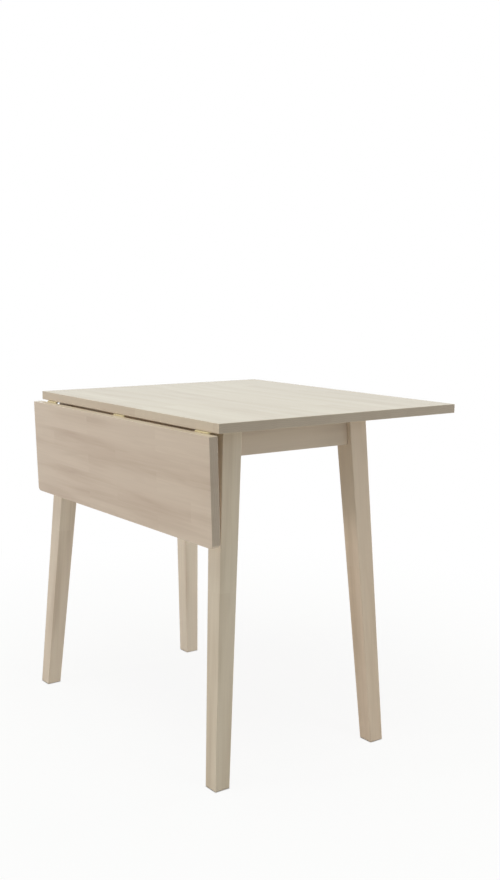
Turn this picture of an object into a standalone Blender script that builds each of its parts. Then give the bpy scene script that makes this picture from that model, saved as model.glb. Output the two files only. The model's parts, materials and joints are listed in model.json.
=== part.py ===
"""Drop-leaf dining table: a fixed top on four splayed legs, and one hinged leaf that two stays hold up.

Metres, +Z up. The origin is on the floor under the middle of the table as it stands with its leaf
hanging. The leaf is on the -X side and the front is -Y. What moves with the leaf is modelled with the
leaf raised level, round the hinge axis, and its parent empty lets it down to where it hangs.
"""

import math

import bmesh
import bpy
from mathutils import Matrix, Vector

# Gap between pieces that touch or turn on each other
CLEAR = 0.0003

# Boards
TABLE_HEIGHT = 0.750
TOP_WIDTH = 0.665
TOP_LENGTH = 0.750
BOARD_THICKNESS = 0.020
BOARD_EASE = 0.0012
LEAF_WIDTH = 0.224
LEAF_GAP = 0.0012
LEAF_CORNER = 0.010
LEAF_HANG = math.radians(2.5)

# Legs and glides
FRAME_WIDTH = 0.3845
FRAME_INSET = 0.032
LEG_INSET = 0.030
LEG_TOP = 0.0475
LEG_FOOT = 0.0355
LEG_SPLAY = 0.040
LEG_EASE = 0.0015
GLIDE_RADIUS = 0.0105
GLIDE_THICKNESS = 0.0010
GLIDE_NAIL_RADIUS = 0.0014
GLIDE_NAIL_LENGTH = 0.012

# Aprons and their tenons
APRON_HEIGHT = 0.055
APRON_THICKNESS = 0.020
APRON_RECESS = 0.009
APRON_EASE = 0.0010
TENON_HEIGHT = 0.035
TENON_THICKNESS = 0.008
TENON_LENGTH = 0.018

# Screws up through the aprons into the top
TOP_SCREW_RADIUS = 0.0022
TOP_SCREW_HEAD = 0.0042
TOP_SCREW_HEIGHT = 0.0026
TOP_SCREW_LENGTH = 0.040
TOP_SCREW_BITE = 0.012
TOP_SCREW_SPREAD = 0.130

# Butt hinges
HINGE_LENGTH = 0.045
HINGE_END = 0.056
HINGE_PLATE_WIDTH = 0.022
HINGE_PLATE_THICKNESS = 0.0013
KNUCKLE_RADIUS = 0.0024
KNUCKLE_COUNT = 5
HINGE_PIN_RADIUS = 0.0011
HINGE_PIN_END = 0.0008
HINGE_SCREW_RADIUS = 0.0014
HINGE_SCREW_HEAD = 0.0027
HINGE_SCREW_LENGTH = 0.014

# Stays: bracket on the apron, arm, and slotted track on the leaf
STAY_SPREAD = 0.210
STAY_REACH = 0.020
STAY_DROP = 0.042
STAY_PLATE = 0.0025
STAY_PLAY = 0.0004
STAY_BASE_WIDTH = 0.024
STAY_BASE_HEIGHT = 0.038
STAY_LUG_RADIUS = 0.0080
STAY_RIVET_RADIUS = 0.0025
STAY_HEAD_RADIUS = 0.0048
STAY_HEAD_HEIGHT = 0.0015
ARM_LENGTH = 0.120
ARM_WIDTH = 0.014
ARM_THICKNESS = 0.0030
SLOT_PIN_RADIUS = 0.0030
SLOT_PIN_STANDOFF = 0.014
SLOT_POCKET = 0.0050
TRACK_RIM = 0.0050
TRACK_FLANGE = 0.018
TRACK_FLANGE_THICKNESS = 0.0020
STAY_SCREW_RADIUS = 0.0018
STAY_SCREW_HEAD = 0.0036
STAY_SCREW_HEIGHT = 0.0022
STAY_SCREW_LENGTH = 0.013

# Sides of round pieces, and points along a stay's slot
SCREW_SIDES = 8
ROUND_SIDES = 16
SLOT_STEPS = 16

# Places that follow from the sizes above
UNDERSIDE = TABLE_HEIGHT - BOARD_THICKNESS
HINGE_DROP = KNUCKLE_RADIUS + CLEAR
LEAF_REACH = (LEAF_GAP / 2 + (HINGE_DROP + BOARD_THICKNESS) * math.cos(LEAF_HANG)
              - LEAF_GAP / 2 * math.sin(LEAF_HANG))
EDGE_X = (LEAF_REACH - TOP_WIDTH) / 2
HINGE_X = EDGE_X - LEAF_GAP / 2
HINGE_Z = UNDERSIDE - HINGE_DROP
FRAME_X = EDGE_X + FRAME_INSET + FRAME_WIDTH / 2
HALF_X = FRAME_WIDTH / 2
HALF_Y = TOP_LENGTH / 2 - LEG_INSET
HINGE_PLACES = {
    "front": HINGE_END - TOP_LENGTH / 2,
    "middle": 0.0,
    "back": TOP_LENGTH / 2 - HINGE_END,
}
STAY_SIDES = {"front": -1, "back": 1}
CORNERS = {
    "front_left": (-1, -1),
    "front_right": (1, -1),
    "back_left": (-1, 1),
    "back_right": (1, 1),
}

# A stay seen along Y: X and Z from the hinge axis, and layers in from the middle of the track's web
APRON_FACE = FRAME_INSET + APRON_RECESS + LEAF_GAP / 2
STAY_PIVOT = Vector((APRON_FACE - STAY_REACH, HINGE_DROP - STAY_DROP))
LEAF_SWING = math.pi / 2 + LEAF_HANG
SLOT_HALF = SLOT_PIN_RADIUS + CLEAR
ARM_LAYER = (STAY_PLATE + ARM_THICKNESS) / 2 + STAY_PLAY
LUG_LAYER = ARM_LAYER + (ARM_THICKNESS + STAY_PLATE) / 2 + STAY_PLAY


def leaf_axes(angle):
    """Directions along the leaf and out of its underside, with the leaf turned out by angle from plumb."""
    along = Vector((-math.sin(angle), -math.cos(angle)))
    out = Vector((math.cos(angle), -math.sin(angle)))
    return along, out


def arm_angles():
    """Angles of the stay arm from plumb, with the leaf hanging and with it raised."""
    offset = SLOT_PIN_STANDOFF - HINGE_DROP
    along, out = leaf_axes(-LEAF_HANG)
    centre = STAY_PIVOT - offset * out
    reach = along.dot(centre)
    span = reach + math.sqrt(ARM_LENGTH**2 - centre.length_squared + reach**2)
    pin = along * span + out * offset
    hanging = math.asin((STAY_PIVOT.x - pin.x) / ARM_LENGTH)
    raised = math.pi / 2 + math.asin((-offset - STAY_PIVOT.y) / ARM_LENGTH)
    return hanging, raised


ARM_HANGING, ARM_RAISED = arm_angles()
ARM_RATIO = (ARM_RAISED - ARM_HANGING) / LEAF_SWING


def slot_point(turn):
    """Where the arm's pin lies on the raised leaf, in X and Z from the hinge axis, once the leaf has turned so far."""
    swing = ARM_HANGING + ARM_RATIO * turn
    pin = STAY_PIVOT - ARM_LENGTH * Vector((math.sin(swing), math.cos(swing)))
    along, out = leaf_axes(turn - LEAF_HANG)
    return Vector((-pin.dot(along), -pin.dot(out)))


def slot_path():
    """Points along the slot from the leaf hanging to the leaf raised, and directions square to it, off the leaf."""
    nudge = LEAF_SWING / 1000
    points = []
    normals = []
    for step in range(SLOT_STEPS + 1):
        turn = LEAF_SWING * step / SLOT_STEPS
        run = slot_point(turn + nudge) - slot_point(turn - nudge)
        points.append(slot_point(turn))
        normals.append(Vector((run.y, -run.x)).normalized())
    return points, normals


def arc(centre, radius, start, end, steps):
    """Points on an arc, both ends included."""
    points = []
    for step in range(steps + 1):
        angle = start + (end - start) * step / steps
        points.append(Vector((centre[0] + radius * math.cos(angle), centre[1] + radius * math.sin(angle))))
    return points


def ring(centre, radius, sides):
    return arc(centre, radius, 0, math.tau, sides)[:-1]


def clear_scene():
    for obj in list(bpy.data.objects):
        bpy.data.objects.remove(obj, do_unlink=True)


def make_collection(name):
    collection = bpy.data.collections.new(name)
    bpy.context.scene.collection.children.link(collection)
    return collection


clear_scene()
PARTS = make_collection("drop_leaf_table")
CUTTERS = make_collection("cutters")


def make_material(name, colour, roughness, metallic=0.0):
    material = bpy.data.materials.new(name)
    material.use_nodes = True
    shader = material.node_tree.nodes["Principled BSDF"]
    shader.inputs["Base Color"].default_value = (*colour, 1.0)
    shader.inputs["Roughness"].default_value = roughness
    shader.inputs["Metallic"].default_value = metallic
    return material


TOP_WOOD = make_material("whitewashed_top", (0.72, 0.66, 0.55), 0.55)
LEAF_WOOD = make_material("whitewashed_leaf", (0.62, 0.53, 0.42), 0.55)
LEG_WOOD = make_material("whitewashed_legs", (0.55, 0.47, 0.38), 0.55)
APRON_WOOD = make_material("whitewashed_aprons", (0.50, 0.42, 0.33), 0.55)
BRASS = make_material("brass", (0.68, 0.58, 0.32), 0.35, 1.0)
STEEL = make_material("zinc_plated_steel", (0.60, 0.60, 0.58), 0.40, 1.0)
NYLON = make_material("nylon_glides", (0.12, 0.10, 0.08), 0.60)


def welded(mesh):
    """Closes the caps of a curve or the axis points of a turned shape, and turns the faces out."""
    work = bmesh.new()
    work.from_mesh(mesh)
    bmesh.ops.remove_doubles(work, verts=work.verts, dist=1e-6)
    bmesh.ops.recalc_face_normals(work, faces=work.faces)
    work.to_mesh(mesh)
    work.free()
    return mesh


def evaluated_mesh(helper):
    """The mesh that a helper object evaluates to; the helper is removed."""
    CUTTERS.objects.link(helper)
    graph = bpy.context.evaluated_depsgraph_get()
    mesh = bpy.data.meshes.new_from_object(helper.evaluated_get(graph))
    bpy.data.objects.remove(helper)
    return welded(mesh)


def moved(mesh, matrix):
    mesh.transform(matrix)
    return mesh


def box(first, second):
    """A box between two opposite corners."""
    low = Vector(map(min, first, second))
    high = Vector(map(max, first, second))
    mesh = bpy.data.meshes.new("box")
    work = bmesh.new()
    bmesh.ops.create_cube(work, size=1.0)
    bmesh.ops.scale(work, vec=high - low, verts=work.verts)
    bmesh.ops.translate(work, vec=(high + low) / 2, verts=work.verts)
    work.to_mesh(mesh)
    work.free()
    return mesh


def shaped_box(place):
    """A box with each corner where place puts the corner of that sign on each axis."""
    mesh = box((-1, -1, -1), (1, 1, 1))
    for vertex in mesh.vertices:
        vertex.co = place(*(round(value) for value in vertex.co))
    return welded(mesh)


def cylinder(radius, length, sides):
    """A cylinder from the origin up its own +Z."""
    mesh = bpy.data.meshes.new("cylinder")
    work = bmesh.new()
    middle = Matrix.Translation((0, 0, length / 2))
    bmesh.ops.create_cone(work, cap_ends=True, segments=sides, radius1=radius, radius2=radius, depth=length,
                          matrix=middle)
    work.to_mesh(mesh)
    work.free()
    return mesh


def turned(profile, sides):
    """A profile of radius and height, from the top down its outer side, turned about Z."""
    mesh = bpy.data.meshes.new("turned")
    edges = [(index, index + 1) for index in range(len(profile) - 1)]
    mesh.from_pydata([(radius, 0, height) for radius, height in profile], edges, [])
    helper = bpy.data.objects.new("turned", mesh)
    screw = helper.modifiers.new("turn", "SCREW")
    screw.steps = sides
    screw.render_steps = sides
    screw.use_merge_vertices = True
    screw.merge_threshold = 1e-5
    return evaluated_mesh(helper)


def flat_plate(outlines, thickness):
    """A plate in XY, half its thickness either side of Z zero; outlines after the first are holes."""
    curve = bpy.data.curves.new("outline", "CURVE")
    curve.dimensions = "2D"
    curve.fill_mode = "BOTH"
    curve.extrude = thickness / 2
    for outline in outlines:
        spline = curve.splines.new("POLY")
        spline.points.add(len(outline) - 1)
        spline.use_cyclic_u = True
        for point, (x, y) in zip(spline.points, outline):
            point.co = (x, y, 0.0, 1.0)
    return evaluated_mesh(bpy.data.objects.new("outline", curve))


def upright_plate(outlines, thickness, y):
    """A plate drawn in X and Z, with its middle plane at this Y."""
    stand = Matrix.Translation((0, y, 0)) @ Matrix.Rotation(math.pi / 2, 4, "X")
    return moved(flat_plate(outlines, thickness), stand)


def facing(point, direction):
    """Matrix that puts a shape's origin at the point and its +Z along the direction."""
    turn = Vector(direction).to_track_quat("Z", "Y").to_matrix().to_4x4()
    return Matrix.Translation(point) @ turn


def copies(mesh, matrices):
    """One mesh with a copy of the shape at each matrix, for a cut or a join."""
    work = bmesh.new()
    for matrix in matrices:
        work.from_mesh(moved(mesh.copy(), matrix))
    joined = bpy.data.meshes.new("copies")
    work.to_mesh(joined)
    work.free()
    return joined


def piece(name, mesh, material, parent=None, place=None):
    """A sub-part of the table; its mesh is in its parent's space, or in that of its place there."""
    if not mesh.materials:
        mesh.materials.append(material)
        mesh.shade_smooth()
        mesh.set_sharp_from_angle(angle=math.radians(35))
    obj = bpy.data.objects.new(name, mesh)
    obj.parent = parent
    if place:
        obj.matrix_basis = place
    PARTS.objects.link(obj)
    return obj


def ease(obj, width):
    bevel = obj.modifiers.new("eased_edges", "BEVEL")
    bevel.width = width
    bevel.segments = 2
    return obj


def combine(obj, label, mesh, operation):
    """Cuts the mesh from the object or joins it on; the mesh is in the object's own space."""
    helper = bpy.data.objects.new(f"{label}_for_{obj.name}", mesh)
    helper.parent = obj.parent
    helper.hide_render = True
    helper.display_type = "WIRE"
    CUTTERS.objects.link(helper)
    boolean = obj.modifiers.new(label, "BOOLEAN")
    boolean.operation = operation
    boolean.solver = "EXACT"
    boolean.object = helper


def cut(obj, label, mesh):
    combine(obj, label, mesh, "DIFFERENCE")


def join(obj, label, mesh):
    combine(obj, label, mesh, "UNION")


def pivot_empty(name, place, turn):
    """An empty on a joint's axis, which runs along Y."""
    empty = bpy.data.objects.new(name, None)
    empty.location = place
    empty.rotation_euler = (0, turn, 0)
    PARTS.objects.link(empty)
    return empty


def flat_head_screw():
    """Countersunk hinge screw with the top of its head at the origin, driven along -Z."""
    neck = HINGE_PLATE_THICKNESS - CLEAR
    profile = [(0, 0), (HINGE_SCREW_HEAD, 0), (HINGE_SCREW_RADIUS, -neck),
               (HINGE_SCREW_RADIUS, 2 * HINGE_SCREW_RADIUS - HINGE_SCREW_LENGTH), (0, -HINGE_SCREW_LENGTH)]
    return turned(profile, SCREW_SIDES)


def flat_head_hole():
    """Room for a countersunk hinge screw, open above its plate."""
    neck = HINGE_PLATE_THICKNESS - CLEAR
    mouth = HINGE_SCREW_HEAD + CLEAR
    bore = HINGE_SCREW_RADIUS + CLEAR
    depth = HINGE_SCREW_LENGTH + CLEAR
    profile = [(0, neck), (mouth, neck), (mouth, 0), (bore, -neck), (bore, -depth), (0, -depth)]
    return turned(profile, SCREW_SIDES)


def round_head_screw(radius, head, height, length):
    """Round-headed screw with its head just above the origin, driven along -Z."""
    top = CLEAR + height
    profile = [(0, top), (head * 0.7, top), (head, CLEAR + height / 2), (head, CLEAR), (radius, CLEAR),
               (radius, 2 * radius - length), (0, -length)]
    return turned(profile, SCREW_SIDES)


def screw_bore(radius, length, above):
    """Room for a screw's shank below the origin, and this far above it."""
    depth = length + CLEAR
    return moved(cylinder(radius + CLEAR, depth + above, SCREW_SIDES), Matrix.Translation((0, 0, -depth)))


def stay_screw_bore():
    return screw_bore(STAY_SCREW_RADIUS, STAY_SCREW_LENGTH, STAY_SCREW_HEIGHT)


def outer_face(half, z):
    """Distance of a leg's outer face from the middle of the frame, at this height."""
    return half + LEG_SPLAY * (UNDERSIDE - z) / UNDERSIDE


def inner_face(half, z):
    """Distance of a leg's inner face from the middle of the frame, at this height."""
    return half - LEG_TOP + (LEG_SPLAY + LEG_TOP - LEG_FOOT) * (UNDERSIDE - z) / UNDERSIDE


def make_top():
    far = (EDGE_X + TOP_WIDTH, TOP_LENGTH / 2, TABLE_HEIGHT)
    return ease(piece("table_top", box((EDGE_X, -TOP_LENGTH / 2, UNDERSIDE), far), TOP_WOOD), BOARD_EASE)


def tenon(along_x, side, end, gap):
    """The tenon at one end of an apron, or with a gap its mortise in the leg."""
    half_along, half_across = (HALF_X, HALF_Y) if along_x else (HALF_Y, HALF_X)
    root = end * (half_along - 2 * LEG_TOP)
    tip = end * (half_along - LEG_TOP + TENON_LENGTH + gap)
    middle = side * (half_across - APRON_RECESS - APRON_THICKNESS / 2)
    half = TENON_THICKNESS / 2 + gap
    top = UNDERSIDE - (APRON_HEIGHT - TENON_HEIGHT) / 2 + gap
    foot = top - TENON_HEIGHT - 2 * gap
    if along_x:
        return box((FRAME_X + root, middle - half, foot), (FRAME_X + tip, middle + half, top))
    return box((FRAME_X + middle - half, root, foot), (FRAME_X + middle + half, tip, top))


def make_leg(name, corner):
    side_x, side_y = corner
    head = UNDERSIDE - CLEAR
    foot = GLIDE_THICKNESS + CLEAR

    def place(sign_x, sign_y, sign_z):
        z = head if sign_z > 0 else foot
        x = outer_face(HALF_X, z) if sign_x == side_x else inner_face(HALF_X, z)
        y = outer_face(HALF_Y, z) if sign_y == side_y else inner_face(HALF_Y, z)
        return FRAME_X + side_x * x, side_y * y, z

    leg = ease(piece(f"leg_{name}", shaped_box(place), LEG_WOOD), LEG_EASE)
    cut(leg, "mortise_across", tenon(True, side_y, side_x, CLEAR))
    cut(leg, "mortise_along", tenon(False, side_x, side_y, CLEAR))
    nail = screw_bore(GLIDE_NAIL_RADIUS, foot, GLIDE_NAIL_LENGTH + GLIDE_THICKNESS)
    cut(leg, "nail_hole", moved(nail, Matrix.Translation(foot_middle(corner))))


def foot_middle(corner):
    """Middle of a leg's foot, on the floor."""
    side_x, side_y = corner
    x = (outer_face(HALF_X, 0) + inner_face(HALF_X, 0)) / 2
    y = (outer_face(HALF_Y, 0) + inner_face(HALF_Y, 0)) / 2
    return Vector((FRAME_X + side_x * x, side_y * y, 0))


def make_glide(name, corner):
    """Nail-on glide: a nylon disc with its nail up in the foot."""
    top = GLIDE_THICKNESS + GLIDE_NAIL_LENGTH
    rim = GLIDE_THICKNESS * 0.4
    profile = [(0, top), (GLIDE_NAIL_RADIUS, top - GLIDE_NAIL_RADIUS), (GLIDE_NAIL_RADIUS, GLIDE_THICKNESS),
               (GLIDE_RADIUS, GLIDE_THICKNESS), (GLIDE_RADIUS, rim), (GLIDE_RADIUS - rim, 0), (0, 0)]
    place = Matrix.Translation(foot_middle(corner))
    piece(f"glide_{name}", turned(profile, ROUND_SIDES), NYLON, place=place)


def make_apron(name, along_x, side):
    """A rail between two legs, its ends cut to the slope of the legs' inner faces, with a tenon at each end."""
    half_along, half_across = (HALF_X, HALF_Y) if along_x else (HALF_Y, HALF_X)

    def place(sign_x, sign_y, sign_z):
        z = UNDERSIDE - CLEAR if sign_z > 0 else UNDERSIDE - APRON_HEIGHT
        sign_along, sign_across = (sign_x, sign_y) if along_x else (sign_y, sign_x)
        along = sign_along * (inner_face(half_along, z) - CLEAR)
        depth = APRON_RECESS if sign_across == side else APRON_RECESS + APRON_THICKNESS
        across = side * (half_across - depth)
        return (FRAME_X + along, across, z) if along_x else (FRAME_X + across, along, z)

    apron = ease(piece(f"apron_{name}", shaped_box(place), APRON_WOOD), APRON_EASE)
    join(apron, "first_tenon", tenon(along_x, side, -1, 0))
    join(apron, "second_tenon", tenon(along_x, side, 1, 0))
    return apron


def make_top_screws(top, aprons):
    """Screws up through counterbored holes in the aprons, which hold the top down."""
    depth = APRON_RECESS + APRON_THICKNESS / 2
    places = [("front", "front", 0, depth - HALF_Y), ("back", "back", 0, HALF_Y - depth)]
    for apron, x in (("leaf_side", depth - HALF_X), ("end", HALF_X - depth)):
        places.append((f"{apron}_front", apron, x, -TOP_SCREW_SPREAD))
        places.append((f"{apron}_back", apron, x, TOP_SCREW_SPREAD))
    seat_z = UNDERSIDE + TOP_SCREW_BITE - TOP_SCREW_LENGTH
    screw = round_head_screw(TOP_SCREW_RADIUS, TOP_SCREW_HEAD, TOP_SCREW_HEIGHT, TOP_SCREW_LENGTH)
    for name, apron, x, y in places:
        seat = facing((FRAME_X + x, y, seat_z), (0, 0, -1))
        bore = screw_bore(TOP_SCREW_RADIUS, TOP_SCREW_LENGTH, TOP_SCREW_HEIGHT)
        cut(top, f"screw_{name}", moved(bore.copy(), seat))
        cut(aprons[apron], f"screw_{name}", moved(bore, seat))
        counterbore = cylinder(TOP_SCREW_HEAD + CLEAR, APRON_HEIGHT, ROUND_SIDES)
        cut(aprons[apron], f"counterbore_{name}", moved(counterbore, seat))
        piece(f"top_screw_{name}", screw, STEEL, place=seat)


def knuckle_spans():
    """Start and end of each knuckle along the hinge."""
    pitch = HINGE_LENGTH / KNUCKLE_COUNT
    first = -HINGE_LENGTH / 2
    return [(first + index * pitch + CLEAR / 2, first + (index + 1) * pitch - CLEAR / 2)
            for index in range(KNUCKLE_COUNT)]


def hinge_plate(side, spans):
    """Plate on the +X or -X side of the axis at the origin, with a tongue to each of its knuckles."""
    root = KNUCKLE_RADIUS + CLEAR
    tip = KNUCKLE_RADIUS * 0.3
    half = HINGE_LENGTH / 2
    outline = [(HINGE_PLATE_WIDTH, -half), (HINGE_PLATE_WIDTH, half), (root, half)]
    for start, end in reversed(spans):
        low = start + CLEAR / 2
        high = end - CLEAR / 2
        outline += [(root, high), (tip, high), (tip, low), (root, low)]
    outline.append((root, -half))
    sheet = flat_plate([[(side * x, y) for x, y in outline]], HINGE_PLATE_THICKNESS)
    return moved(sheet, Matrix.Translation((0, 0, KNUCKLE_RADIUS - HINGE_PLATE_THICKNESS / 2)))


def make_hinge_half(name, board, board_name, parent, place, side, first):
    """One plate of a hinge, with every second knuckle, and its two screws into the board."""
    spans = knuckle_spans()[first::2]
    plate = piece(f"hinge_{board_name}_plate_{name}", moved(hinge_plate(side, spans), place), BRASS, parent)
    barrel = cylinder(KNUCKLE_RADIUS, spans[0][1] - spans[0][0], ROUND_SIDES)
    barrels = [place @ facing((0, start, 0), (0, 1, 0)) for start, end in spans]
    join(plate, "knuckles", copies(barrel, barrels))
    bore = cylinder(HINGE_PIN_RADIUS + CLEAR, HINGE_LENGTH * 2, ROUND_SIDES)
    cut(plate, "pin_bore", moved(bore, place @ facing((0, -HINGE_LENGTH, 0), (0, 1, 0))))
    face = KNUCKLE_RADIUS - HINGE_PLATE_THICKNESS
    x = side * (KNUCKLE_RADIUS + HINGE_PLATE_WIDTH) / 2
    seats = [place @ facing((x, y, face), (0, 0, -1)) for y in (-HINGE_LENGTH * 0.32, HINGE_LENGTH * 0.32)]
    cut(plate, "screw_holes", copies(flat_head_hole(), seats))
    cut(board, f"hinge_{name}_screws", copies(flat_head_hole(), seats))
    screw = flat_head_screw()
    for number, seat in enumerate(seats, 1):
        piece(f"hinge_{board_name}_screw_{name}_{number}", screw, BRASS, parent, seat)


def make_hinges(top, leaf, leaf_pivot):
    half = HINGE_LENGTH / 2 + HINGE_PIN_END
    taper = HINGE_PIN_END / 2
    profile = [(0, half), (HINGE_PIN_RADIUS - taper, half), (HINGE_PIN_RADIUS, half - taper),
               (HINGE_PIN_RADIUS, taper - half), (HINGE_PIN_RADIUS - taper, -half), (0, -half)]
    pin = turned(profile, ROUND_SIDES)
    for name, y in HINGE_PLACES.items():
        on_top = Matrix.Translation((HINGE_X, y, HINGE_Z))
        make_hinge_half(name, top, "top", None, on_top, 1, 0)
        make_hinge_half(name, leaf, "leaf", leaf_pivot, Matrix.Translation((0, y, 0)), -1, 1)
        piece(f"hinge_pin_{name}", pin, BRASS, place=on_top @ facing((0, 0, 0), (0, 1, 0)))


def make_leaf(leaf_pivot):
    """The leaf as it lies when raised: its butt edge a joint's gap from the top, its underside level, its free corners round."""
    near = -LEAF_GAP / 2
    far = near - LEAF_WIDTH
    half = TOP_LENGTH / 2
    steps = ROUND_SIDES // 4
    turn = far + LEAF_CORNER
    outline = [(near, -half), (near, half), *arc((turn, half - LEAF_CORNER), LEAF_CORNER, math.pi / 2, math.pi, steps),
               *arc((turn, LEAF_CORNER - half), LEAF_CORNER, math.pi, 1.5 * math.pi, steps)]
    middle = Matrix.Translation((0, 0, HINGE_DROP + BOARD_THICKNESS / 2))
    return ease(piece("drop_leaf", moved(flat_plate([outline], BOARD_THICKNESS), middle), LEAF_WOOD, leaf_pivot), BOARD_EASE)


def rivet(radius, grip):
    """Rivet up +Z with a head at each end; the grip between its heads starts at the origin."""
    head = STAY_HEAD_RADIUS
    top = grip + STAY_HEAD_HEIGHT
    profile = [(0, top), (head * 0.7, top), (head, grip + STAY_HEAD_HEIGHT / 2), (head, grip), (radius, grip),
               (radius, 0), (head, 0), (head, -STAY_HEAD_HEIGHT / 2), (head * 0.7, -STAY_HEAD_HEIGHT),
               (0, -STAY_HEAD_HEIGHT)]
    return turned(profile, ROUND_SIDES)


def make_stay_bracket(name, side, apron):
    """Bracket on the leaf-side apron: a base with two screws, and a lug that carries the arm's rivet."""
    axis = Matrix.Translation((HINGE_X, side * STAY_SPREAD, HINGE_Z))
    face = APRON_FACE - CLEAR
    top = STAY_PIVOT.y + STAY_BASE_HEIGHT * 0.6
    foot = top - STAY_BASE_HEIGHT
    nose = arc(STAY_PIVOT, STAY_LUG_RADIUS, math.pi / 2, 1.5 * math.pi, ROUND_SIDES // 2)
    lug = [[(face, top), *nose, (face, foot)], ring(STAY_PIVOT, STAY_RIVET_RADIUS + CLEAR, ROUND_SIDES)]
    lug_y = -side * LUG_LAYER
    bracket = piece(f"stay_bracket_{name}", moved(upright_plate(lug, STAY_PLATE, lug_y), axis), STEEL)
    edge = lug_y + side * STAY_PLATE / 2
    base = box((face - STAY_PLATE, edge, foot), (face, edge - side * STAY_BASE_WIDTH, top))
    join(bracket, "base", moved(base, axis))
    screw_y = edge - side * (STAY_PLATE + STAY_BASE_WIDTH) / 2
    inset = STAY_BASE_HEIGHT * 0.2
    seats = [axis @ facing((face - STAY_PLATE, screw_y, z), (-1, 0, 0)) for z in (top - inset, foot + inset)]
    cut(bracket, "screw_holes", copies(stay_screw_bore(), seats))
    cut(apron, f"stay_{name}_screws", copies(stay_screw_bore(), seats))
    grip = ARM_THICKNESS + STAY_PLAY + STAY_PLATE + 2 * CLEAR
    start = -side * (ARM_LAYER - ARM_THICKNESS / 2 - CLEAR)
    seat = axis @ facing((STAY_PIVOT.x, start, STAY_PIVOT.y), (0, -side, 0))
    piece(f"stay_rivet_{name}", rivet(STAY_RIVET_RADIUS, grip), STEEL, place=seat)
    return seats


def make_stay_arm(name, side):
    """Flat arm from its pivot out along -X, with the slot pin riveted through its end."""
    place = (HINGE_X + STAY_PIVOT.x, side * STAY_SPREAD, HINGE_Z + STAY_PIVOT.y)
    pivot = pivot_empty(f"stay_pivot_{name}", place, ARM_HANGING - math.pi / 2)
    half = ARM_WIDTH / 2
    end = (-ARM_LENGTH, 0)
    steps = ROUND_SIDES // 2
    outline = arc((0, 0), half, -math.pi / 2, math.pi / 2, steps) + arc(end, half, math.pi / 2, 1.5 * math.pi, steps)
    holes = [ring((0, 0), STAY_RIVET_RADIUS + CLEAR, ROUND_SIDES), ring(end, SLOT_HALF, ROUND_SIDES)]
    piece(f"stay_arm_{name}", upright_plate([outline, *holes], ARM_THICKNESS, -side * ARM_LAYER), STEEL, pivot)
    grip = ARM_THICKNESS + 2 * STAY_PLAY + STAY_PLATE + CLEAR
    start = -side * (ARM_LAYER + ARM_THICKNESS / 2 + CLEAR)
    seat = facing((end[0], start, 0), (0, side, 0))
    piece(f"stay_pin_{name}", rivet(SLOT_PIN_RADIUS, grip), STEEL, pivot, seat)


def track_web():
    """Outline of a track's web on the raised leaf, in X and Z from the hinge axis."""
    points, normals = slot_path()
    first, last = (math.atan2(normal.y, normal.x) % math.tau for normal in (normals[0], normals[-1]))
    rim = SLOT_HALF + TRACK_RIM
    seat = HINGE_DROP - CLEAR
    steps = ROUND_SIDES // 4
    edge = [point + normal * rim for point, normal in zip(points, normals)]
    return [(points[0].x - rim, seat), *arc(points[0], rim, math.pi, first, steps), *edge[1:-1],
            *arc(points[-1], rim, last, math.tau, steps), (points[-1].x + rim, seat)]


def track_slot():
    """Outline of the slot, with the pocket that the pin drops into when the raised leaf settles on it."""
    points, normals = slot_path()
    first, last = (math.atan2(normal.y, normal.x) % math.tau for normal in (normals[0], normals[-1]))
    lower = [point + normal * SLOT_HALF for point, normal in zip(points, normals)]
    upper = [point - normal * SLOT_HALF for point, normal in zip(points, normals)]
    raised = points[-1]
    pocket = (raised.x, raised.y + SLOT_POCKET)
    lip = raised.x - SLOT_HALF
    left = [point for point in upper if point.x < lip]
    after = upper[len(left)]
    share = (lip - left[-1].x) / (after.x - left[-1].x)
    steps = ROUND_SIDES // 2
    return [*lower[1:-1], *arc(raised, SLOT_HALF, last, math.tau, steps // 2), *arc(pocket, SLOT_HALF, 0, math.pi, steps),
            left[-1].lerp(after, share), *reversed(left[1:]),
            *arc(points[0], SLOT_HALF, first - math.pi, first, steps)]


def make_track(name, side, leaf, leaf_pivot):
    """Slotted track on the leaf: a web that the arm's pin runs in, and a flange with two screws."""
    web = track_web()
    y = side * STAY_SPREAD
    track = piece(f"stay_track_{name}", upright_plate([web, track_slot()], STAY_PLATE, y), STEEL, leaf_pivot)
    seat_z = HINGE_DROP - CLEAR
    low = seat_z - TRACK_FLANGE_THICKNESS
    edge = y - side * STAY_PLATE / 2
    outer_x = web[0][0]
    inner_x = web[-1][0]
    join(track, "flange", box((outer_x, edge, low), (inner_x, edge + side * TRACK_FLANGE, seat_z)))
    screw_y = edge + side * (STAY_PLATE + TRACK_FLANGE) / 2
    inset = TRACK_FLANGE / 2
    seats = [facing((x, screw_y, low), (0, 0, -1)) for x in (outer_x + inset, inner_x - inset)]
    cut(track, "screw_holes", copies(stay_screw_bore(), seats))
    cut(leaf, f"track_{name}_screws", copies(stay_screw_bore(), seats))
    return seats


def make_stays(apron, leaf, leaf_pivot):
    screw = round_head_screw(STAY_SCREW_RADIUS, STAY_SCREW_HEAD, STAY_SCREW_HEIGHT, STAY_SCREW_LENGTH)
    for name, side in STAY_SIDES.items():
        for number, seat in enumerate(make_stay_bracket(name, side, apron), 1):
            piece(f"stay_bracket_screw_{name}_{number}", screw, STEEL, place=seat)
        make_stay_arm(name, side)
        for number, seat in enumerate(make_track(name, side, leaf, leaf_pivot), 1):
            piece(f"stay_track_screw_{name}_{number}", screw, STEEL, leaf_pivot, seat)


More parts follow.
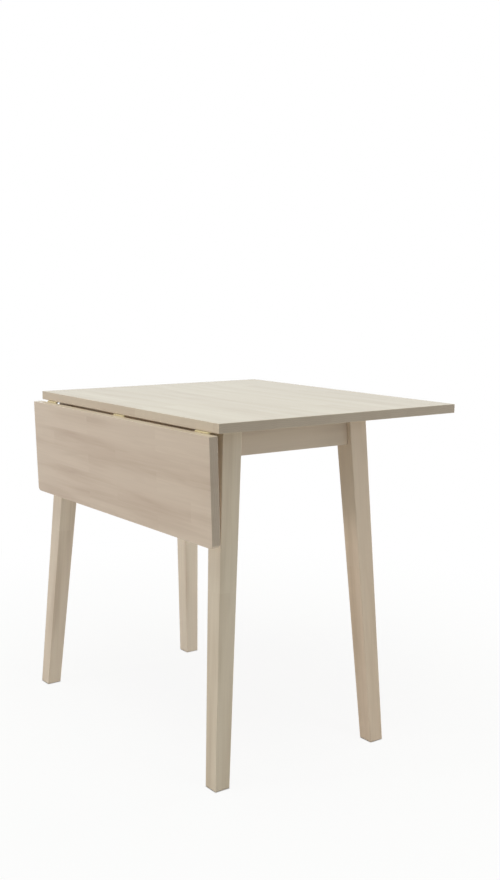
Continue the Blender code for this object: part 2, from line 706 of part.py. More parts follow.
def build():
    top = make_top()
    aprons = {
        "front": make_apron("front", True, -1),
        "back": make_apron("back", True, 1),
        "leaf_side": make_apron("leaf_side", False, -1),
        "end": make_apron("end", False, 1),
    }
    for name, corner in CORNERS.items():
        make_leg(name, corner)
        make_glide(name, corner)
    make_top_screws(top, aprons)
    leaf_pivot = pivot_empty("leaf_pivot", (HINGE_X, 0, HINGE_Z), -LEAF_SWING)
    leaf = make_leaf(leaf_pivot)
    make_hinges(top, leaf, leaf_pivot)
    make_stays(aprons["leaf_side"], leaf, leaf_pivot)
    print("leaf hinge at X", HINGE_X, "Z", HINGE_Z, "swing", math.degrees(LEAF_SWING))
    print("stay arms at X", HINGE_X + STAY_PIVOT.x, "Z", HINGE_Z + STAY_PIVOT.y, "ratio", ARM_RATIO)


build()
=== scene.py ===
import json
import math

import bmesh
import bpy
import numpy as np
from mathutils import Matrix, Vector
from mathutils.geometry import tessellate_polygon


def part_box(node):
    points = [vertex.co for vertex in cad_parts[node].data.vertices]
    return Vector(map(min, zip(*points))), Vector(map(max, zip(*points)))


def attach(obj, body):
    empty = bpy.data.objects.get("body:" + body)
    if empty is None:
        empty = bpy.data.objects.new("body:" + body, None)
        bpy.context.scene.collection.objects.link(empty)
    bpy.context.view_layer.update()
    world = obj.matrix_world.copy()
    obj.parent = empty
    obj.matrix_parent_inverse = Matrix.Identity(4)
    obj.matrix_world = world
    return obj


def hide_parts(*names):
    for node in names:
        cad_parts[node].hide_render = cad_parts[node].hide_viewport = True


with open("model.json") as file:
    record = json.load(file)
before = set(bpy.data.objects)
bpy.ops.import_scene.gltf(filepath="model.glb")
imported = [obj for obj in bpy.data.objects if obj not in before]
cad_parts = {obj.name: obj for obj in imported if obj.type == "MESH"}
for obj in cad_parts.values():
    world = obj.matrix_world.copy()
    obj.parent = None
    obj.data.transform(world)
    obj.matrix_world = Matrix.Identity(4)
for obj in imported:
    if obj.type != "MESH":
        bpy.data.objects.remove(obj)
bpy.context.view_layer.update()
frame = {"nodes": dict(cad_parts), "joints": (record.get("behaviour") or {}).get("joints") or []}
nodes = frame["nodes"]
print("frame loaded,", len(nodes), "nodes")

# the leaf's own axes: origin on the hinge line, the raised leaf on the -X side, Z up through it
leafJoint = frame["joints"][0]
tablePlace = Matrix.Identity(4)
hingePlace = Matrix.Translation(leafJoint["pos_m"])
leafPlace = hingePlace @ Matrix.Rotation(-math.radians(leafJoint["range_deg"][1]), 4, "Y")
corners = ("front_left", "back_left", "front_right", "back_right")


def nodeMiddle(node):
    # middle of a CAD node's box, half the sum of its two corners
    return sum(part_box(node), Vector()) / 2


def linearColour(hexText):
    # sRGB hex to the linear values that nodes take
    shares = [int(hexText[i:i + 2], 16) / 255 for i in (1, 3, 5)]
    return [s / 12.92 if s <= 0.04045 else ((s + 0.055) / 1.055) ** 2.4 for s in shares] + [1.0]


def addNode(tree, kind, settings=None, links=None):
    # settings name a property or a socket, links a socket's source
    node = tree.nodes.new("ShaderNode" + kind)
    for key, value in (settings or {}).items():
        if isinstance(key, str) and hasattr(node, key):
            setattr(node, key, value)
        else:
            node.inputs[key].default_value = value
    for key, source in (links or {}).items():
        tree.links.new(source, node.inputs[key])
    return node


def newMaterial(name):
    material = bpy.data.materials.new(name)
    material.use_nodes = True
    material.node_tree.nodes.clear()
    return material, material.node_tree


# camera where the photo was taken from, fitted to the table's edges
shot = {
    "place": (-1.55310, -2.08111, 1.02160),
    "yaw": 35.9330,
    "pitch": 8.2643,
    "roll": 0.4995,
    "focal": 1097.47,  # pixels
    "middle": (220.59, 441.34),  # pixels, where the camera points
    "image": (500, 880),
    "sensor": 36.0,  # mm on the long side, the height
}


def makeCamera():
    yaw, pitch, roll = (math.radians(shot[key]) for key in ("yaw", "pitch", "roll"))
    ahead = Vector((math.sin(yaw) * math.cos(pitch), math.cos(yaw) * math.cos(pitch), -math.sin(pitch)))
    level = Vector((math.cos(yaw), -math.sin(yaw), 0.0))
    upright = level.cross(ahead)
    right = level * math.cos(roll) + upright * math.sin(roll)
    up = upright * math.cos(roll) - level * math.sin(roll)
    turn = Matrix((right, up, -ahead)).transposed().to_4x4()
    wide, tall = shot["image"]
    data = bpy.data.cameras.new("photoCamera")
    data.sensor_width = shot["sensor"]
    data.lens = shot["focal"] / tall * shot["sensor"]
    data.shift_x = (wide / 2 - shot["middle"][0]) / tall
    data.shift_y = (shot["middle"][1] - tall / 2) / tall
    camera = bpy.data.objects.new("photoCamera", data)
    camera.matrix_world = Matrix.Translation(shot["place"]) @ turn
    bpy.context.scene.collection.objects.link(camera)
    bpy.context.scene.camera = camera


# soft boxes overhead, at both sides and in front, and a narrow one low down for the feet
studio = {
    "lamps": {
        "overhead": {"place": (-0.6, -0.2, 3.5), "aim": (0.0, 0.0, 0.7), "size": 2.8, "spread": 180,
                     "watts": 68.0, "colour": "#F5FFF3"},
        "left": {"place": (-4.6, 1.3, 0.52), "aim": (0.0, 0.0, 0.3), "size": 1.0, "spread": 180,
                 "watts": 61.0, "colour": "#FFF6F0"},
        "front": {"place": (0.6, -2.4, 2.3), "aim": (0.1, -0.4, 0.1), "size": 1.5, "spread": 180,
                  "watts": 7.0, "colour": "#FFFAF2"},
        "right": {"place": (2.8, -0.5, 0.35), "aim": (0.0, 0.1, 0.15), "size": 0.9, "spread": 180,
                  "watts": 46.0, "colour": "#FFFCF6"},
        "low": {"place": (0.3, -2.8, 0.25), "aim": (0.17, -0.2, -0.05), "size": 0.6, "spread": 40,
                "watts": 0.43, "colour": "#FFFAF2"},
    },
    "sky": "#FFFFFF",
    "skyStrength": 0.24,
    "floor": "#F4F3F0",
    "floorReach": 14.0,
    "floorGlow": (0.90, 1.0),  # share that shows as plain white, under the table and far from it
    "glowReach": (0.5, 1.7),
    "footGap": (0.0165, 0.0190),  # half the foot, where the floor's own shadow is left as it is
}


def makeLamps():
    for name, lamp in studio["lamps"].items():
        data = bpy.data.lights.new(name + "Softbox", "AREA")
        data.shape = "DISK"
        data.size = lamp["size"]
        data.spread = math.radians(lamp["spread"])
        data.energy = lamp["watts"]
        data.color = linearColour(lamp["colour"])[:3]
        softbox = bpy.data.objects.new(name + "Softbox", data)
        toward = Vector(lamp["aim"]) - Vector(lamp["place"])
        turn = toward.to_track_quat("-Z", "Y").to_matrix().to_4x4()
        softbox.matrix_world = Matrix.Translation(lamp["place"]) @ turn
        bpy.context.scene.collection.objects.link(softbox)


def seenShare(tree):
    # 1 for rays from the camera, through clear things and off shiny ones, 0 for light that spreads
    path = addNode(tree, "LightPath")
    straight = addNode(tree, "Math", {"operation": "MAXIMUM"},
                       {0: path.outputs["Is Camera Ray"], 1: path.outputs["Is Transmission Ray"]})
    seen = addNode(tree, "Math", {"operation": "MAXIMUM"},
                   {0: straight.outputs[0], 1: path.outputs["Is Glossy Ray"]})
    return seen.outputs[0]


def makeSky():
    # white behind the table where it is seen, a plain pale sky for the rest
    bpy.context.scene.view_settings.view_transform = "Standard"
    world = bpy.data.worlds.new("studioWorld")
    bpy.context.scene.world = world
    world.use_nodes = True
    tree = world.node_tree
    tree.nodes.clear()
    level = addNode(tree, "MapRange", {"To Min": studio["skyStrength"], "To Max": 1.0},
                    {"Value": seenShare(tree)})
    sky = addNode(tree, "Background", {"Color": linearColour(studio["sky"])}, {"Strength": level.outputs[0]})
    addNode(tree, "OutputWorld", links={"Surface": sky.outputs[0]})


def paintedFloor():
    # pale matt paint that takes the table's shadow, lifted to white where it is seen
    material, tree = newMaterial("matt painted studio floor")
    coords = addNode(tree, "TexCoord")
    reach = addNode(tree, "VectorMath", {"operation": "LENGTH"}, {0: coords.outputs["Object"]})
    glow = addNode(tree, "MapRange", {
        "interpolation_type": "SMOOTHSTEP",
        "From Min": studio["glowReach"][0], "From Max": studio["glowReach"][1],
        "To Min": studio["floorGlow"][0], "To Max": studio["floorGlow"][1]},
        {"Value": reach.outputs["Value"]})

    # no lift in the gap under the feet: the floor is folded onto one quarter of the frame, and the larger of
    # the two distances from that quarter's foot counts
    first, last = nodeMiddle("glide_front_left"), nodeMiddle("glide_back_right")
    middle, foot = (((last + side * first) / 2).to_2d().to_3d() for side in (1, -1))
    around = addNode(tree, "VectorMath", {"operation": "SUBTRACT", 1: middle}, {0: coords.outputs["Object"]})
    folded = addNode(tree, "VectorMath", {"operation": "ABSOLUTE"}, {0: around.outputs[0]})
    fromFoot = addNode(tree, "VectorMath", {"operation": "SUBTRACT", 1: foot}, {0: folded.outputs[0]})
    reaches = addNode(tree, "VectorMath", {"operation": "ABSOLUTE"}, {0: fromFoot.outputs[0]})
    sides = addNode(tree, "SeparateXYZ", links={0: reaches.outputs[0]})
    farther = addNode(tree, "Math", {"operation": "MAXIMUM"}, {0: sides.outputs["X"], 1: sides.outputs["Y"]})
    clear = addNode(tree, "MapRange", {
        "interpolation_type": "SMOOTHSTEP",
        "From Min": studio["footGap"][0], "From Max": studio["footGap"][1]}, {"Value": farther.outputs[0]})
    lift = addNode(tree, "Math", {"operation": "MULTIPLY"}, {0: glow.outputs[0], 1: clear.outputs[0]})
    share = addNode(tree, "Math", {"operation": "MULTIPLY"}, {0: seenShare(tree), 1: lift.outputs[0]})

    paint = addNode(tree, "BsdfDiffuse", {"Color": linearColour(studio["floor"]), "Roughness": 0.5})
    white = addNode(tree, "Emission", {"Color": linearColour("#FFFFFF"), "Strength": 1.0})
    both = addNode(tree, "MixShader", links={0: share.outputs[0], 1: paint.outputs[0], 2: white.outputs[0]})
    addNode(tree, "OutputMaterial", links={"Surface": both.outputs[0]})
    return material


def makeFloor():
    side = studio["floorReach"]
    points = [(-side, -side, 0), (side, -side, 0), (side, side, 0), (-side, side, 0)]
    mesh = bpy.data.meshes.new("studioFloor")
    mesh.from_pydata(points, [], [(0, 1, 2, 3)])
    mesh.materials.append(paintedFloor())
    floor = bpy.data.objects.new("studioFloor", mesh)
    bpy.context.scene.collection.objects.link(floor)


makeCamera()
makeLamps()
makeSky()
makeFloor()
print("camera, lamps and floor set")


# birch glued up from finger-jointed staves, wiped with white stain and lacquered, satin on the boards and
# matt on legs and aprons: the eye gets pale cream wood with soft streaks, faint blocks from stave to stave,
# and greyer, thirstier end grain
wood = {
    "staveWidth": 0.044,
    "staveLength": 0.290,
    "staveOffset": 0.43,  # of a stave's length, from row to row
    "wholePiece": 40.0,  # stave size of a piece that is not glued up, larger than the table
    "patternJump": 17.0,  # how far the grain pattern moves from a stave to the next
    "fibre": (0.0032, 0.120),  # across and along; real fibres are under 1 mm wide, drawn coarser so they show
    "figure": (0.020, 0.420),
    "cloud": (0.034, 0.330),
    "archTurns": 30.0,  # radians of growth lines over the figure's range
    "archHeight": -0.35,  # beside the fibres' height of 1
    "ringSpacing": 0.0042,
    "ringWobble": 0.006,
    "pith": (0.008, 0.0, -0.050),  # middle of the rings, below a stave
    "cutEnd": "#A89A8B",
    # laid over the bare stave in turn: colour, pattern, the pattern's range, and the share at both its ends
    "layers": (
        ("streak", "arch", (-0.2, 1.0), (0.0, 0.20)),
        ("streak", "fibre", (0.42, 0.75), (0.0, 0.22)),
        ("wash", "cloud", (0.40, 0.68), (0.60, 0.0)),
        ("streak", "cloud", (0.50, 0.74), (0.0, 0.38)),
    ),
    "tones": {
        "top": {"pale": "#D0C2AE", "warm": "#C7B7A3", "streak": "#AA9783", "wash": "#D6CAB8",
                "strength": 0.4, "roughness": (0.25, 0.27)},
        "leaf": {"pale": "#D0BEAC", "warm": "#C7B3A1", "streak": "#AA9381", "wash": "#D6C6B6",
                 "strength": 0.7, "roughness": (0.25, 0.27)},
        "aprons": {"pale": "#CBBBA9", "warm": "#C2B09F", "streak": "#A8968A", "wash": "#D0C2B1",
                   "strength": 0.6, "roughness": (0.51, 0.53)},
        "front_left": {"pale": "#D2C5B2", "warm": "#CBBCA9", "streak": "#B19F8A", "wash": "#D8CCBB",
                       "strength": 0.9, "roughness": (0.51, 0.53)},
        "back_left": {"pale": "#D5C7B6", "warm": "#CEBCAB", "streak": "#B29F8C", "wash": "#DDD0C0",
                      "strength": 0.9, "roughness": (0.51, 0.53)},
        # the front right leg's tone is darker than the other legs' as painted shade: it stands in for the
        # shade that falls on its front face
        "front_right": {"pale": "#CEBCA8", "warm": "#C8B49F", "streak": "#AE9982", "wash": "#D5C4B2",
                        "strength": 0.9, "roughness": (0.51, 0.53)},
        # the back right leg's tone is paler than the other legs' as painted light: it makes up for light that
        # the lamps don't bring in under the table
        "back_right": {"pale": "#E5D8C7", "warm": "#DFD0BE", "streak": "#C4B29F", "wash": "#E9DFCF",
                       "strength": 0.9, "roughness": (0.51, 0.53)},
    },
}


def whitewashedWood(name, place, toneName, seed, staves=True):
    # place turns and centres the grain: across on X, along on Y, through on Z
    tone = wood["tones"][toneName]
    material, tree = newMaterial(name)
    back = place.inverted()
    turn = back.to_euler()
    coords = addNode(tree, "TexCoord")
    grain = addNode(tree, "Mapping", {"Location": back.translation, "Rotation": turn},
                    {"Vector": coords.outputs["Object"]})
    facing = addNode(tree, "Mapping", {"vector_type": "NORMAL", "Rotation": turn},
                     {"Vector": coords.outputs["Normal"]})
    spot = addNode(tree, "SeparateXYZ", links={0: grain.outputs[0]})
    face = addNode(tree, "SeparateXYZ", links={0: facing.outputs[0]})

    # cut ends face along the grain
    steep = addNode(tree, "Math", {"operation": "ABSOLUTE"}, {0: face.outputs["Y"]})
    cutEnd = addNode(tree, "MapRange", {"From Min": 0.80, "From Max": 0.96}, {"Value": steep.outputs[0]})

    # each stave has its own tone, and its own piece of the grain pattern
    length, width = (wood[key if staves else "wholePiece"] for key in ("staveLength", "staveWidth"))
    plan = addNode(tree, "CombineXYZ", links={"X": spot.outputs["Y"], "Y": spot.outputs["X"]})
    blocks = addNode(tree, "TexBrick", {
        "offset": wood["staveOffset"], "offset_frequency": 2, "Scale": 1.0,
        "Brick Width": length, "Row Height": width, "Mortar Size": 0.0003, "Mortar Smooth": 0.5,
        "Color1": (0, 0, 0, 1), "Color2": (1, 1, 1, 1), "Mortar": (0.5, 0.5, 0.5, 1)},
        {"Vector": plan.outputs[0]})
    shift = addNode(tree, "Math", {"operation": "MULTIPLY_ADD", 1: wood["patternJump"], 2: seed},
                    {0: blocks.outputs["Color"]})

    grids = {}
    for pattern in ("fibre", "figure", "cloud"):
        across, along = wood[pattern]
        grid = addNode(tree, "Mapping", {"Scale": (1 / across, 1 / along, 1 / across)},
                       {"Vector": grain.outputs[0]})
        grids[pattern] = grid.outputs[0]
    fibre = addNode(tree, "TexNoise", {
        "noise_dimensions": "4D", "Scale": 1.0, "Detail": 2.0, "Roughness": 0.5},
        {"Vector": grids["fibre"], "W": shift.outputs[0]})
    figure = addNode(tree, "TexNoise", {
        "noise_dimensions": "4D", "Scale": 1.0, "Detail": 2.0, "Roughness": 0.5, "Distortion": 0.4},
        {"Vector": grids["figure"], "W": shift.outputs[0]})
    cloud = addNode(tree, "TexNoise", {
        "noise_dimensions": "4D", "Scale": 1.0, "Detail": 1.5, "Roughness": 0.45, "W": seed},
        {"Vector": grids["cloud"]})
    arches = addNode(tree, "Math", {"operation": "MULTIPLY", 1: wood["archTurns"]}, {0: figure.outputs[0]})
    arch = addNode(tree, "Math", {"operation": "SINE"}, {0: arches.outputs[0]})

    # growth rings on a cut end: distance from a pith below the board, wobbled by the figure
    row = addNode(tree, "Math", {"operation": "PINGPONG", 1: wood["staveWidth"] / 2}, {0: spot.outputs["X"]})
    bowl = addNode(tree, "CombineXYZ", links={"X": row.outputs[0], "Z": spot.outputs["Z"]})
    pith = addNode(tree, "VectorMath", {"operation": "SUBTRACT", 1: wood["pith"]}, {0: bowl.outputs[0]})
    ringPath = addNode(tree, "VectorMath", {"operation": "LENGTH"}, {0: pith.outputs[0]})
    wobble = addNode(tree, "Math", {"operation": "MULTIPLY_ADD", 1: wood["ringWobble"]},
                     {0: figure.outputs[0], 2: ringPath.outputs["Value"]})
    ringTurns = addNode(tree, "Math", {"operation": "MULTIPLY", 1: math.tau / wood["ringSpacing"]},
                        {0: wobble.outputs[0]})
    ring = addNode(tree, "Math", {"operation": "SINE"}, {0: ringTurns.outputs[0]})

    # colours, from the bare stave to the wash and smudges on it, then the cut ends
    stave = addNode(tree, "Mix", {
        "data_type": "RGBA", 6: linearColour(tone["pale"]), 7: linearColour(tone["warm"])},
        {0: blocks.outputs["Color"]})
    surface = stave.outputs[2]
    patterns = {"arch": arch, "fibre": fibre, "cloud": cloud}
    for colour, pattern, span, ends in wood["layers"]:
        share = addNode(tree, "MapRange", {
            "From Min": span[0], "From Max": span[1], "To Min": ends[0] * tone["strength"],
            "To Max": ends[1] * tone["strength"]}, {"Value": patterns[pattern].outputs[0]})
        layer = addNode(tree, "Mix", {"data_type": "RGBA", 7: linearColour(tone[colour])},
                        {0: share.outputs[0], 6: surface})
        surface = layer.outputs[2]
    ringShare = addNode(tree, "MapRange", {"From Min": -1.0, "From Max": 1.0, "To Min": 0.62, "To Max": 0.80},
                        {"Value": ring.outputs[0]})
    endShare = addNode(tree, "Math", {"operation": "MULTIPLY"},
                       {0: ringShare.outputs[0], 1: cutEnd.outputs[0]})
    ended = addNode(tree, "Mix", {"data_type": "RGBA", 7: linearColour(wood["cutEnd"])},
                    {0: endShare.outputs[0], 6: surface})

    # the lacquer sinks a little along the fibres
    dull = addNode(tree, "MapRange", {
        "From Min": 0.3, "From Max": 0.7, "To Min": tone["roughness"][0], "To Max": tone["roughness"][1]},
        {"Value": fibre.outputs[0]})
    height = addNode(tree, "Math", {"operation": "MULTIPLY_ADD", 1: wood["archHeight"]},
                     {0: arch.outputs[0], 2: fibre.outputs[0]})
    bump = addNode(tree, "Bump", {"Strength": 0.04, "Distance": 0.0004, "invert": True},
                   {"Height": height.outputs[0]})
    shader = addNode(tree, "BsdfPrincipled", {"IOR": 1.5}, {
        "Base Color": ended.outputs[2], "Roughness": dull.outputs[0], "Normal": bump.outputs[0]})
    addNode(tree, "OutputMaterial", links={"Surface": shader.outputs[0]})
    return material


def carriedProfile(rings):
    # four-sided faces between each closed ring and the next along the path, and one face over each end ring
    rows, count = rings.shape[:2]
    index = np.arange(rows * count).reshape(rows, count)
    after = np.roll(index, -1, axis=1)
    quads = np.stack([index[:-1], after[:-1], after[1:], index[1:]], axis=-1).reshape(-1, 4)
    return rings.reshape(-1, 3), quads.tolist() + [index[0][::-1].tolist(), index[-1].tolist()]


def moved(points, place):
    # each point turned, then shifted, by a place's matrix
    turn = np.array(place)
    return points @ turn[:3, :3].T + turn[:3, 3]


def nodePoints(node, place=tablePlace):
    # a CAD node's corners in the axes of a place
    flat = np.empty(len(nodes[node].data.vertices) * 3, np.float32)
    nodes[node].data.vertices.foreach_get("co", flat)
    return moved(flat.reshape(-1, 3).astype(float), place.inverted())


def pieceName(node):
    # hinge_pin_front gives hingePinFront
    first, *words = node.split("_")
    return first + "".join(word.title() for word in words)


sharpEdge = math.radians(40.0)  # faces that meet at more than this keep a crisp edge


def addPiece(name, surface, material, body, replaced):
    points, faces = surface
    mesh = bpy.data.meshes.new(name)
    mesh.from_pydata(points.tolist(), [], faces)
    work = bmesh.new()
    work.from_mesh(mesh)
    bmesh.ops.recalc_face_normals(work, faces=work.faces)
    work.to_mesh(mesh)
    work.free()
    mesh.materials.append(material)
    mesh.shade_smooth()
    mesh.set_sharp_from_angle(angle=sharpEdge)
    piece = bpy.data.objects.new(name, mesh)
    bpy.context.scene.collection.objects.link(piece)
    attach(piece, body)
    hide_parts(*replaced)


def easedLoop(half, radius, inset, steps=6):
    # rectangle of these half sizes drawn in by the inset, corners a quarter circle, with a point on the flat
    # beside each; a corner drawn in past its radius keeps a small share of it
    least = 0.05
    turns = np.linspace(0, math.pi / 2, steps + 1)[None, :] + np.arange(4)[:, None] * math.pi / 2
    signs = np.array([[1, 1], [-1, 1], [-1, -1], [1, -1]])[:, None, :]
    radius = np.broadcast_to(radius, 4)[:, None, None]
    arms = np.maximum(radius - inset, least * radius)
    corner = signs * (np.asarray(half) - radius - np.maximum(inset - (1 - least) * radius, 0))
    arcs = corner + arms * np.stack([np.cos(turns), np.sin(turns)], axis=-1)
    beside = radius / 2 * np.stack([-np.sin(turns), np.cos(turns)], axis=-1)
    loop = np.concatenate([arcs[:, :1] - beside[:, :1], arcs, arcs[:, -1:] + beside[:, -1:]], axis=1)
    return loop.reshape(-1, 2)


def endCurve(radius, steps=4):
    # how far in from an end each ring lies, and how far it is drawn in there: a flat rim, a quarter circle,
    # then a flat
    turns = np.linspace(math.pi / 2, 0, steps + 1)
    flat = 1.5 * radius
    along = np.concatenate([[0.0], radius * (1 - np.sin(turns)), [flat]])
    inset = np.concatenate([[flat], radius * (1 - np.cos(turns)), [0.0]])
    return along, inset


# top and leaf: square-edged boards with their edges just taken off
board = {
    "ease": 0.0008, "squareCorner": 0.0015, "freeCorner": 0.010,
    "topGrain": (0.012, 0.06, 0.74), "leafGrain": (-0.009, 0.11, 0.012),  # where the staves start
    "topSeed": 2.0, "leafSeed": 5.0,
    "tableSlot": "whitewashed_top", "leafSlot": "whitewashed_leaf",
}


def easedPlate(low, high, radii, ease):
    # plan outline carried up through the thickness, drawn in by a quarter circle at both faces
    middle, half = (low + high) / 2, (high - low) / 2
    along, inset = endCurve(ease)
    loops = np.stack([easedLoop(half[:2], radii, i) for i in inset])
    heights = np.broadcast_to(-half[2] + along[:, None, None], loops.shape[:2] + (1,))
    lower = np.concatenate([loops, heights], axis=-1)
    return carriedProfile(np.concatenate([lower, lower[::-1] * (1, 1, -1)]) + middle)


def boardSurface(node, place, freeCorner):
    # plate of the CAD board's size; its two corners on -X, the free edge, have a radius of their own
    points = nodePoints(node, place)
    radii = np.array([board["squareCorner"], freeCorner, freeCorner, board["squareCorner"]])
    rim, faces = easedPlate(points.min(0), points.max(0), radii, board["ease"])
    return moved(rim, place), faces


def makeBoards():
    topGrain = Matrix.Translation(board["topGrain"])
    leafGrain = leafPlace @ Matrix.Translation(board["leafGrain"])
    topFinish = whitewashedWood("whitewashed birch top, planed and lacquered", topGrain, "top",
                                seed=board["topSeed"])
    leafFinish = whitewashedWood("whitewashed birch leaf, planed and lacquered", leafGrain, "leaf",
                                 seed=board["leafSeed"])
    addPiece("topBoard", boardSurface("table_top", tablePlace, board["squareCorner"]), topFinish,
             "table", ["table_top"])
    addPiece("leafBoard", boardSurface("drop_leaf", leafPlace, board["freeCorner"]), leafFinish,
             "leaf", ["drop_leaf"])


makeBoards()
print("top and leaf made")


legs = {
    "head": 0.0475, "foot": 0.0355, "splay": 0.040, "ease": 0.0015, "footEase": 0.0007,
    "inset": 0.032,  # from the top's leaf edge to the frame
    "half": (0.19225, 0.345),  # frame's half width and half length at the top's underside
    "underside": 0.730,
    "grain": (0.17, 0.32, 0.4),  # near the middle of a leg, from the frame's middle
    "seed": 11.0, "seedStep": 3.7,
    "slot": "whitewashed_legs",
}


def taperedLeg(node, frameX, signX, signY):
    # rounded square that shrinks and slides outwards down the leg, drawn in by a quarter circle at both ends
    points = nodePoints(node)
    low, high = points[:, 2].min(), points[:, 2].max()
    footAlong, footInset = endCurve(legs["footEase"])
    along, inset = endCurve(legs["ease"])
    heights = np.concatenate([low + footAlong, (high - along)[::-1]])
    insets = np.concatenate([footInset, inset[::-1]])
    drop = ((legs["underside"] - heights) / legs["underside"])[:, None]
    half = np.array(legs["half"])
    outer = half + legs["splay"] * drop
    inner = half - legs["head"] + (legs["splay"] + legs["head"] - legs["foot"]) * drop
    loops = np.stack([easedLoop(h, legs["ease"], i) for h, i in zip((outer - inner) / 2, insets)])
    spots = loops + (np.array([signX, signY]) * (outer + inner) / 2)[:, None, :]
    level = np.broadcast_to(heights[:, None], loops.shape[:2])
    return carriedProfile(np.stack([frameX + spots[..., 0], spots[..., 1], level], axis=-1))


def makeLegs():
    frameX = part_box("table_top")[0].x + legs["inset"] + legs["half"][0]
    lean = legs["splay"] + (legs["head"] - legs["foot"]) / 2
    grainX, grainY, grainZ = legs["grain"]
    for number, key in enumerate(corners):
        node = "leg_" + key
        signX = -1 if key.endswith("left") else 1
        signY = -1 if key.startswith("front") else 1
        axis = Vector((-signX * lean, -signY * lean, legs["underside"])).normalized()
        turn = Vector((0, 1, 0)).rotation_difference(axis).to_matrix().to_4x4()
        place = Matrix.Translation((frameX + signX * grainX, signY * grainY, grainZ)) @ turn
        title = f"whitewashed birch {key.replace('_', ' ')} leg, sanded and lacquered"
        seed = legs["seed"] + legs["seedStep"] * number
        finish = whitewashedWood(title, place, key, staves=False, seed=seed)
        surface = taperedLeg(node, frameX, signX, signY)
        addPiece(pieceName(node), surface, finish, "table", [node])


makeLegs()
print("legs made")


# aprons keep their CAD shape, with its tenons and screw pockets
aprons = {
    "level": 0.70,
    "across": {"apron_front": 21.0, "apron_back": 24.0},  # grain along X, with a seed for each
    "along": {"apron_leaf_side": 27.0, "apron_end": 30.0},
}


def dressAprons():
    along = Matrix.Translation((0.0, 0.0, aprons["level"]))
    across = along @ Matrix.Rotation(-math.pi / 2, 4, "Z")
    for place, seeds in ((across, aprons["across"]), (along, aprons["along"])):
        for node, seed in seeds.items():
            title = f"whitewashed birch {node.replace('_', ' ')}, planed and lacquered"
            finish = whitewashedWood(title, place, "aprons", staves=False, seed=seed)
            nodes[node].data.materials.clear()
            nodes[node].data.materials.append(finish)


dressAprons()
print("aprons dressed")


# rolled brass, rubbed along its length: pale warm metal, with fine lines that draw its highlights out; the
# lines are drawn about four times as wide as real ones
brass = {
    "name": "rolled brass, rubbed and lacquered", "clean": "#DBCDA4", "dull": "#B9AB82",
    "roughness": (0.28, 0.44), "line": (0.00045, 0.016, 0.00045), "cloud": 0.009, "bump": 0.06,
}
# pressed steel with bright zinc plate: cool grey metal under a faint cloudy bloom
zinc = {
    "name": "pressed steel, bright zinc plated", "clean": "#C9CBCA", "dull": "#A4A7A8",
    "roughness": (0.27, 0.45), "line": (0.0016, 0.0016, 0.0016), "cloud": 0.014, "bump": 0.04,
}


def sheetMetal(finish):
    material, tree = newMaterial(finish["name"])
    coords = addNode(tree, "TexCoord")
    lineGrid = addNode(tree, "Mapping", {"Scale": [1 / size for size in finish["line"]]},
                       {"Vector": coords.outputs["Object"]})
    line = addNode(tree, "TexNoise", {"Scale": 1.0, "Detail": 3.0, "Roughness": 0.6},
                   {"Vector": lineGrid.outputs[0]})
    cloud = addNode(tree, "TexNoise", {"Scale": 1 / finish["cloud"], "Detail": 4.0, "Roughness": 0.6},
                    {"Vector": coords.outputs["Object"]})
    worn = addNode(tree, "Math", {"operation": "MULTIPLY"}, {0: line.outputs[0], 1: cloud.outputs[0]})
    share = addNode(tree, "MapRange", {"From Min": 0.18, "From Max": 0.42, "To Max": 0.85},
                    {"Value": worn.outputs[0]})
    colour = addNode(tree, "Mix", {
        "data_type": "RGBA", 6: linearColour(finish["clean"]), 7: linearColour(finish["dull"])},
        {0: share.outputs[0]})
    dull = addNode(tree, "MapRange", {
        "From Min": 0.3, "From Max": 0.7, "To Min": finish["roughness"][0], "To Max": finish["roughness"][1]},
        {"Value": cloud.outputs[0]})
    bump = addNode(tree, "Bump", {"Strength": finish["bump"], "Distance": 0.0002},
                   {"Height": line.outputs[0]})
    shader = addNode(tree, "BsdfPrincipled", {"Metallic": 1.0}, {
        "Base Color": colour.outputs[2], "Roughness": dull.outputs[0], "Normal": bump.outputs[0]})
    addNode(tree, "OutputMaterial", links={"Surface": shader.outputs[0]})
    return material


def joined(surfaces):
    # several closed surfaces in one mesh, each one's face numbers moved past the points before it
    starts = np.cumsum([0] + [len(points) for points, faces in surfaces[:-1]]).tolist()
    faces = [[corner + start for corner in face]
             for start, (points, part) in zip(starts, surfaces) for face in part]
    return np.concatenate([points for points, part in surfaces]), faces


def turnedSurface(radii, heights, sides, dip=None):
    # each radius swept round Z at its height, lowered where a dip is cut into it
    turns = np.linspace(0, math.tau, sides, endpoint=False)
    x, y = (np.asarray(radii)[:, None] * curve(turns) for curve in (np.cos, np.sin))
    z = np.broadcast_to(np.asarray(heights)[:, None], x.shape) - (0 if dip is None else dip(x, y))
    return carriedProfile(np.stack([x, y, z], axis=-1))


screws = {
    "sides": 48,
    "domePower": 2.6,
    # shares of the head's radius, for the rings of the dome and for the cross
    "domeRings": np.concatenate([[0.02], np.linspace(0.08, 0.92, 15), [0.97, 1.0]]),
    "crossReach": 0.64, "crossWidth": 0.15,
    "crossWall": 1.6,  # where a groove's wall ends, in widths from its middle; it starts one width sooner
    "point": 0.1,  # share of the shank
    "clock": (31.0, 57.0, 83.0),  # radians per metre, so that each screw stops at an angle of its own
    "countersunk": {"head": 0.0026, "rise": 0.00012, "depth": 0.0009, "shank": 0.0014, "neck": 0.0010,
                    "length": 0.014},
    "pan": {"head": 0.0036, "rise": 0.0022, "depth": 0.0013, "shank": 0.0018, "neck": 0.00002,
            "length": 0.013},
    "deepPan": {"head": 0.0042, "rise": 0.0026, "depth": 0.0015, "shank": 0.0021, "neck": 0.00002,
                "length": 0.040},
}


